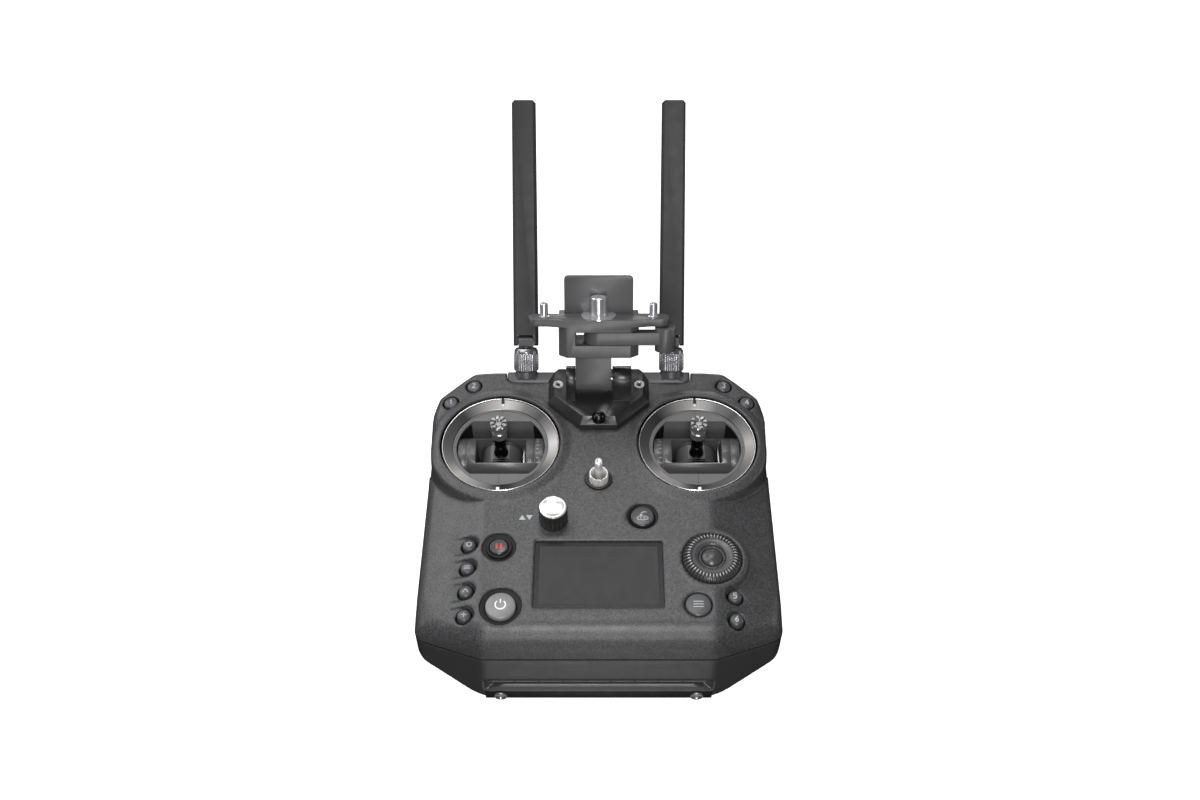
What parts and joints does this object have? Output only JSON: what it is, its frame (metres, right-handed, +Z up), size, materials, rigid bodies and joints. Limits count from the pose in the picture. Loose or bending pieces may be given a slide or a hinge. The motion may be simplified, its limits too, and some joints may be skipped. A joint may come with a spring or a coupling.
{
  "type": "radio transmitter controller",
  "caption": "Hand-held radio transmitter with two gimbal sticks, a display, round buttons, a ribbed wheel, folding antennas and a tilting holder with a locking lever.",
  "frame": {"origin": "centre of the bounding box at the level of the feet", "axes": "+X to the user's right, +Y away from the user, +Z up out of the flat upper face"},
  "size_m": [0.19, 0.2802, 0.186],
  "materials": {
    "grained_plastic": "fine speckled grain, low sheen",
    "lower_plastic": "smooth satin",
    "satin_plastic": "satin, softly domed",
    "black_plastic": "satin black moulding",
    "brushed_ring": "turned, with a circular brushed sheen",
    "bright_metal": "bright, lightly turned",
    "black_steel": "blackened steel",
    "black_metal": "black anodised, fine sandblast",
    "screw_steel": "plain steel",
    "dark_window": "dark clear cover with a soft gloss",
    "module_plastic": "black carrier",
    "board_laminate": "green circuit laminate",
    "soft_rubber": "matt rubber",
    "battery_plastic": "fine grain"
  },
  "bodies": {
    "casing": {"bottom_shell": "lower_plastic", "bracket_base": "black_metal", "bracket_fasteners": "screw_steel", "button_trim_rings": "black_plastic", "case_screws": "screw_steel", "display_module": "module_plastic", "display_window": "dark_window", "gimbal_bezels": "black_plastic", "left_gimbal_frame": "black_plastic", "main_board": "board_laminate", "rear_trim": "satin_plastic", "right_gimbal_frame": "black_plastic", "rubber_feet": "soft_rubber", "stick_rings": "brushed_ring", "strap_studs": "bright_metal", "switch_collar": "black_plastic", "switch_nut": "bright_metal", "top_shell": "grained_plastic"},
    "left_yoke": {"left_yoke": "black_plastic"},
    "left_stick": {"left_cradle": "black_plastic", "left_stick": "black_steel", "left_stick_cap": "bright_metal"},
    "left_antenna_nut": {"left_antenna_nut": "bright_metal"},
    "left_antenna_elbow": {"left_antenna_elbow": "black_plastic"},
    "left_antenna": {"left_antenna": "black_plastic"},
    "left_dial": {"left_dial": "soft_rubber"},
    "right_yoke": {"right_yoke": "black_plastic"},
    "right_stick": {"right_cradle": "black_plastic", "right_stick": "black_steel", "right_stick_cap": "bright_metal"},
    "right_antenna_nut": {"right_antenna_nut": "bright_metal"},
    "right_antenna_elbow": {"right_antenna_elbow": "black_plastic"},
    "right_antenna": {"right_antenna": "black_plastic"},
    "right_dial": {"right_dial": "soft_rubber"},
    "mode_switch": {"mode_switch": "bright_metal"},
    "dial": {"dial_knob": "black_plastic", "dial_cap": "bright_metal"},
    "wheel": {"wheel_ring": "black_plastic"},
    "wheel_button": {"wheel_button": "satin_plastic"},
    "home_button": {"home_button": "satin_plastic"},
    "pause_button": {"pause_button": "satin_plastic"},
    "power_button": {"power_button": "satin_plastic"},
    "menu_button": {"menu_button": "satin_plastic"},
    "side_button_1": {"side_button_1": "satin_plastic"},
    "side_button_2": {"side_button_2": "satin_plastic"},
    "side_button_3": {"side_button_3": "satin_plastic"},
    "side_button_4": {"side_button_4": "satin_plastic"},
    "button_a": {"button_a": "satin_plastic"},
    "button_b": {"button_b": "satin_plastic"},
    "button_c": {"button_c": "satin_plastic"},
    "button_d": {"button_d": "satin_plastic"},
    "button_e": {"button_e": "satin_plastic"},
    "button_f": {"button_f": "satin_plastic"},
    "holder": {"bracket_arm": "black_metal", "bracket_head": "black_metal", "bracket_pins": "bright_metal", "back_plate": "black_metal"},
    "lock_lever": {"lock_lever": "black_metal"},
    "battery": {"battery_pack": "battery_plastic"},
    "battery_latch": {"battery_latch": "battery_plastic"}
  },
  "joints": [
    {"name": "left_stick_forward", "type": "hinge", "parent": "casing", "child": "left_yoke", "pos_m": [-0.0546, -0.01337, 0.046], "axis": [1, 0, 0], "range_deg": [-24, 24], "stiffness_Nm_per_rad": 0.03},
    {"name": "left_stick_sideways", "type": "hinge", "parent": "left_yoke", "child": "left_stick", "pos_m": [-0.0546, -0.01337, 0.046], "axis": [0, 1, 0], "range_deg": [-24, 24], "stiffness_Nm_per_rad": 0.03},
    {"name": "right_stick_forward", "type": "hinge", "parent": "casing", "child": "right_yoke", "pos_m": [0.0546, -0.01337, 0.046], "axis": [1, 0, 0], "range_deg": [-24, 24], "stiffness_Nm_per_rad": 0.03},
    {"name": "right_stick_sideways", "type": "hinge", "parent": "right_yoke", "child": "right_stick", "pos_m": [0.0546, -0.01337, 0.046], "axis": [0, 1, 0], "range_deg": [-24, 24], "stiffness_Nm_per_rad": 0.03},
    {"name": "mode_switch_flip", "type": "hinge", "parent": "casing", "child": "mode_switch", "pos_m": [0, -0.03787, 0.066], "axis": [1, 0, 0], "range_deg": [-14, 14]},
    {"name": "dial_turn", "type": "hinge", "parent": "casing", "child": "dial", "pos_m": [-0.0239, -0.06487, 0.065], "axis": [0, 0, 1], "range_deg": [-140, 140]},
    {"name": "wheel_turn", "type": "hinge", "parent": "casing", "child": "wheel", "pos_m": [0.0587, -0.08867, 0.065], "axis": [0, 0, 1], "continuous": true},
    {"name": "wheel_button_press", "type": "slide", "parent": "casing", "child": "wheel_button", "axis": [0, 0, -1], "range_m": [0, 0.0008], "stiffness_N_per_m": 1500},
    {"name": "home_button_press", "type": "slide", "parent": "casing", "child": "home_button", "axis": [0, 0, -1], "range_m": [0, 0.0008], "stiffness_N_per_m": 1500},
    {"name": "pause_button_press", "type": "slide", "parent": "casing", "child": "pause_button", "axis": [0, 0, -1], "range_m": [0, 0.0008], "stiffness_N_per_m": 1500},
    {"name": "power_button_press", "type": "slide", "parent": "casing", "child": "power_button", "axis": [0, 0, -1], "range_m": [0, 0.0008], "stiffness_N_per_m": 1500},
    {"name": "menu_button_press", "type": "slide", "parent": "casing", "child": "menu_button", "axis": [0, 0, -1], "range_m": [0, 0.0008], "stiffness_N_per_m": 1500},
    {"name": "side_button_1_press", "type": "slide", "parent": "casing", "child": "side_button_1", "axis": [0, 0, -1], "range_m": [0, 0.0008], "stiffness_N_per_m": 1500},
    {"name": "side_button_2_press", "type": "slide", "parent": "casing", "child": "side_button_2", "axis": [0, 0, -1], "range_m": [0, 0.0008], "stiffness_N_per_m": 1500},
    {"name": "side_button_3_press", "type": "slide", "parent": "casing", "child": "side_button_3", "axis": [0, 0, -1], "range_m": [0, 0.0008], "stiffness_N_per_m": 1500},
    {"name": "side_button_4_press", "type": "slide", "parent": "casing", "child": "side_button_4", "axis": [0, 0, -1], "range_m": [0, 0.0008], "stiffness_N_per_m": 1500},
    {"name": "button_a_press", "type": "slide", "parent": "casing", "child": "button_a", "axis": [0.3584, 0, -0.9336], "range_m": [0, 0.0008], "stiffness_N_per_m": 1500},
    {"name": "button_b_press", "type": "slide", "parent": "casing", "child": "button_b", "axis": [0.3584, 0, -0.9336], "range_m": [0, 0.0008], "stiffness_N_per_m": 1500},
    {"name": "button_c_press", "type": "slide", "parent": "casing", "child": "button_c", "axis": [-0.3584, 0, -0.9336], "range_m": [0, 0.0008], "stiffness_N_per_m": 1500},
    {"name": "button_d_press", "type": "slide", "parent": "casing", "child": "button_d", "axis": [-0.3584, 0, -0.9336], "range_m": [0, 0.0008], "stiffness_N_per_m": 1500},
    {"name": "button_e_press", "type": "slide", "parent": "casing", "child": "button_e", "axis": [0, 0, -1], "range_m": [0, 0.0008], "stiffness_N_per_m": 1500},
    {"name": "button_f_press", "type": "slide", "parent": "casing", "child": "button_f", "axis": [0, 0, -1], "range_m": [0, 0.0008], "stiffness_N_per_m": 1500},
    {"name": "left_antenna_nut_turn", "type": "hinge", "parent": "casing", "child": "left_antenna_nut", "pos_m": [-0.042, 0.03813, 0.0655], "axis": [0, 0.6428, 0.766], "continuous": true},
    {"name": "left_antenna_swivel", "type": "hinge", "parent": "casing", "child": "left_antenna_elbow", "pos_m": [-0.042, 0.03813, 0.0655], "axis": [0, 0.6428, 0.766], "range_deg": [-90, 90]},
    {"name": "left_antenna_fold", "type": "hinge", "parent": "left_antenna_elbow", "child": "left_antenna", "pos_m": [-0.042, 0.05066, 0.08044], "axis": [1, 0, 0], "range_deg": [-75, 35]},
    {"name": "right_antenna_nut_turn", "type": "hinge", "parent": "casing", "child": "right_antenna_nut", "pos_m": [0.042, 0.03813, 0.0655], "axis": [0, 0.6428, 0.766], "continuous": true},
    {"name": "right_antenna_swivel", "type": "hinge", "parent": "casing", "child": "right_antenna_elbow", "pos_m": [0.042, 0.03813, 0.0655], "axis": [0, 0.6428, 0.766], "range_deg": [-90, 90]},
    {"name": "right_antenna_fold", "type": "hinge", "parent": "right_antenna_elbow", "child": "right_antenna", "pos_m": [0.042, 0.05066, 0.08044], "axis": [1, 0, 0], "range_deg": [-75, 35]},
    {"name": "holder_tilt", "type": "hinge", "parent": "casing", "child": "holder", "pos_m": [0, 0.01813, 0.0837], "axis": [1, 0, 0], "range_deg": [-8, 60]},
    {"name": "lock_lever_swing", "type": "hinge", "parent": "holder", "child": "lock_lever", "pos_m": [0, 0.02959, 0.10739], "axis": [0, 0.4695, 0.8829], "range_deg": [-80, 0]},
    {"name": "left_dial_roll", "type": "hinge", "parent": "casing", "child": "left_dial", "pos_m": [-0.05, 0.03363, 0.031], "axis": [1, 0, 0], "range_deg": [-35, 35], "stiffness_Nm_per_rad": 0.004},
    {"name": "right_dial_roll", "type": "hinge", "parent": "casing", "child": "right_dial", "pos_m": [0.05, 0.03363, 0.031], "axis": [1, 0, 0], "range_deg": [-35, 35], "stiffness_Nm_per_rad": 0.004},
    {"name": "battery_slide", "type": "slide", "parent": "casing", "child": "battery", "axis": [0, 1, 0], "range_m": [0, 0.1]},
    {"name": "battery_latch_slide", "type": "slide", "parent": "casing", "child": "battery_latch", "axis": [0, 1, 0], "range_m": [0, 0.002], "stiffness_N_per_m": 600}
  ]
}
